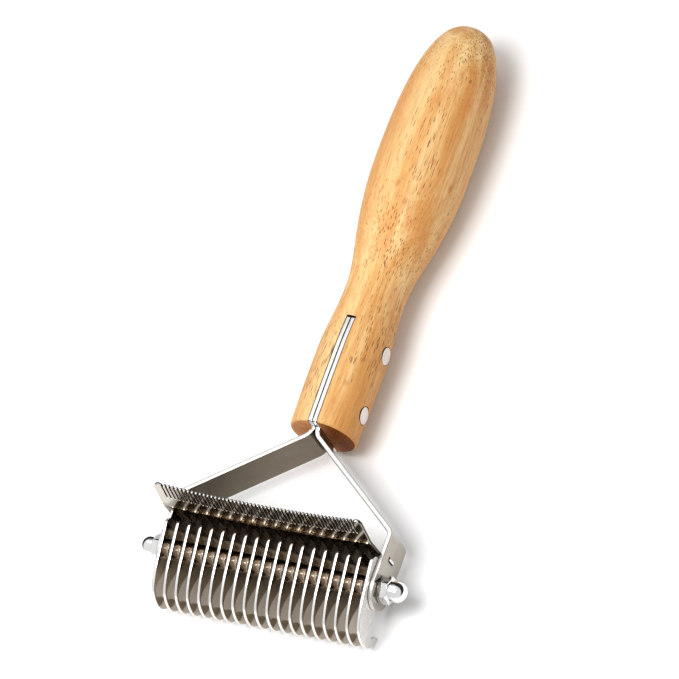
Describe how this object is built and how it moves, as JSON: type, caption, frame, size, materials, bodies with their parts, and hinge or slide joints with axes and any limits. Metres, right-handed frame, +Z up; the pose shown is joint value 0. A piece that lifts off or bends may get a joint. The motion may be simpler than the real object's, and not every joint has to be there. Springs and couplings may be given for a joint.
{
  "type": "deshedding tool",
  "caption": "Pet deshedding rake: stacked hooked steel blades clamped on an axle under a fine comb plate, held by a bent strap yoke in a turned beech handle.",
  "frame": {"origin": "on the table under the middle of the tool's box, the tool lying on its back on its hook backs and the widest ring of the handle", "axes": "+X along the axle to the right-hand cap nut, +Y along the handle from the blades to the round end, +Z up from the table, the way the comb's teeth point"},
  "size_m": [0.0932, 0.2106, 0.0398],
  "materials": {
    "handle_wood": "light beech, fine dark flecks along the grain, satin oil",
    "arm_steel": "mirror-polished stainless strap",
    "blade_steel": "mirror-polished stainless, bright ground edges",
    "comb_steel": "mirror-polished stainless sheet",
    "spacer_steel": "turned and polished collar",
    "rod_steel": "plain threaded rod",
    "washer_steel": "bright plated washer",
    "nut_chrome": "bright chrome domed nut",
    "rivet_steel": "flush ground rivet end"
  },
  "bodies": {
    "rake": {"handle": "handle_wood", "yoke_arm_left": "arm_steel", "yoke_arm_right": "arm_steel", "rivet_upper": "rivet_steel", "rivet_lower": "rivet_steel", "blade_01": "blade_steel", "blade_02": "blade_steel", "blade_03": "blade_steel", "blade_04": "blade_steel", "blade_05": "blade_steel", "blade_06": "blade_steel", "blade_07": "blade_steel", "blade_08": "blade_steel", "blade_09": "blade_steel", "blade_10": "blade_steel", "blade_11": "blade_steel", "blade_12": "blade_steel", "blade_13": "blade_steel", "blade_14": "blade_steel", "blade_15": "blade_steel", "blade_16": "blade_steel", "blade_17": "blade_steel", "blade_18": "blade_steel", "blade_19": "blade_steel", "spacer_01": "spacer_steel", "spacer_02": "spacer_steel", "spacer_03": "spacer_steel", "spacer_04": "spacer_steel", "spacer_05": "spacer_steel", "spacer_06": "spacer_steel", "spacer_07": "spacer_steel", "spacer_08": "spacer_steel", "spacer_09": "spacer_steel", "spacer_10": "spacer_steel", "spacer_11": "spacer_steel", "spacer_12": "spacer_steel", "spacer_13": "spacer_steel", "spacer_14": "spacer_steel", "spacer_15": "spacer_steel", "spacer_16": "spacer_steel", "spacer_17": "spacer_steel", "spacer_18": "spacer_steel", "axle_rod": "rod_steel", "comb_plate": "comb_steel"},
    "right_washer": {"washer_right": "washer_steel"},
    "right_nut": {"cap_nut_right": "nut_chrome"},
    "left_washer": {"washer_left": "washer_steel"},
    "left_nut": {"cap_nut_left": "nut_chrome"}
  },
  "joints": [
    {"name": "right_washer_travel", "type": "slide", "parent": "rake", "child": "right_washer", "axis": [1, 0, 0], "range_m": [0, 0.0048]},
    {"name": "right_nut_turn", "type": "hinge", "parent": "right_washer", "child": "right_nut", "pos_m": [0.03998, -0.08762, 0.01217], "axis": [1, 0, 0], "range_deg": [0, 2160]},
    {"name": "left_washer_travel", "type": "slide", "parent": "rake", "child": "left_washer", "axis": [-1, 0, 0], "range_m": [0, 0.0048]},
    {"name": "left_nut_turn", "type": "hinge", "parent": "left_washer", "child": "left_nut", "pos_m": [-0.03998, -0.08762, 0.01217], "axis": [-1, 0, 0], "range_deg": [0, 2160]}
  ],
  "couplings": [
    {"joint": "right_nut_turn", "follows": "right_washer_travel", "rad_per_m": 7853.9},
    {"joint": "left_nut_turn", "follows": "left_washer_travel", "rad_per_m": 7853.9}
  ]
}
